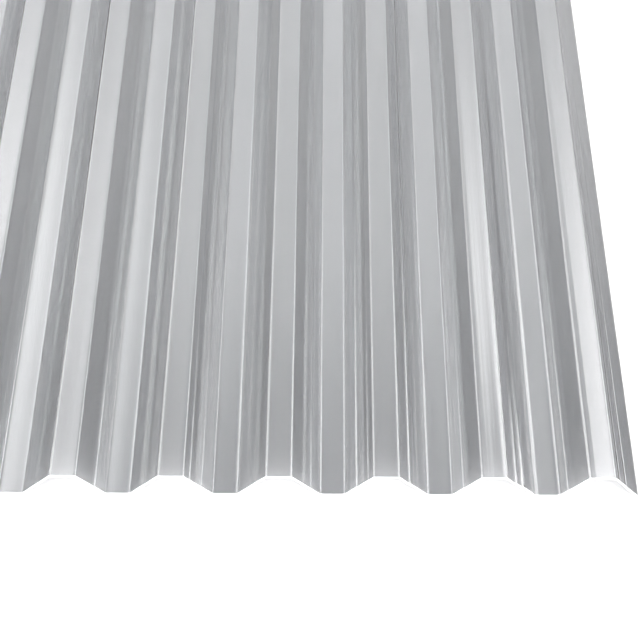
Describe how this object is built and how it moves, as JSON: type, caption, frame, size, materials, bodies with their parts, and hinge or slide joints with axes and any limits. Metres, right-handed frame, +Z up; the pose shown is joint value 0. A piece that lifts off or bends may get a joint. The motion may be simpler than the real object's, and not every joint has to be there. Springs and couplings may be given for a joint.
{
  "type": "trapezoidal acrylic sheet",
  "caption": "Rigid see-through acrylic sheet with a trapezoidal wave section: flat crests and troughs joined by sloping webs, for roofs, canopies and cladding that let light in.",
  "frame": {"origin": "under the middle of the sheet, on the plane of the trough undersides it lies on", "axes": "+X across the ribs, +Y along the ribs, +Z up, out of the weather face"},
  "size_m": [1.0402, 2, 0.0195],
  "materials": {
    "acrylic": "clear with a light grey tint, glossy, with fine draw lines along the ribs"
  },
  "bodies": {
    "root": {"trapezoidal_sheet": "acrylic"}
  },
  "joints": []
}
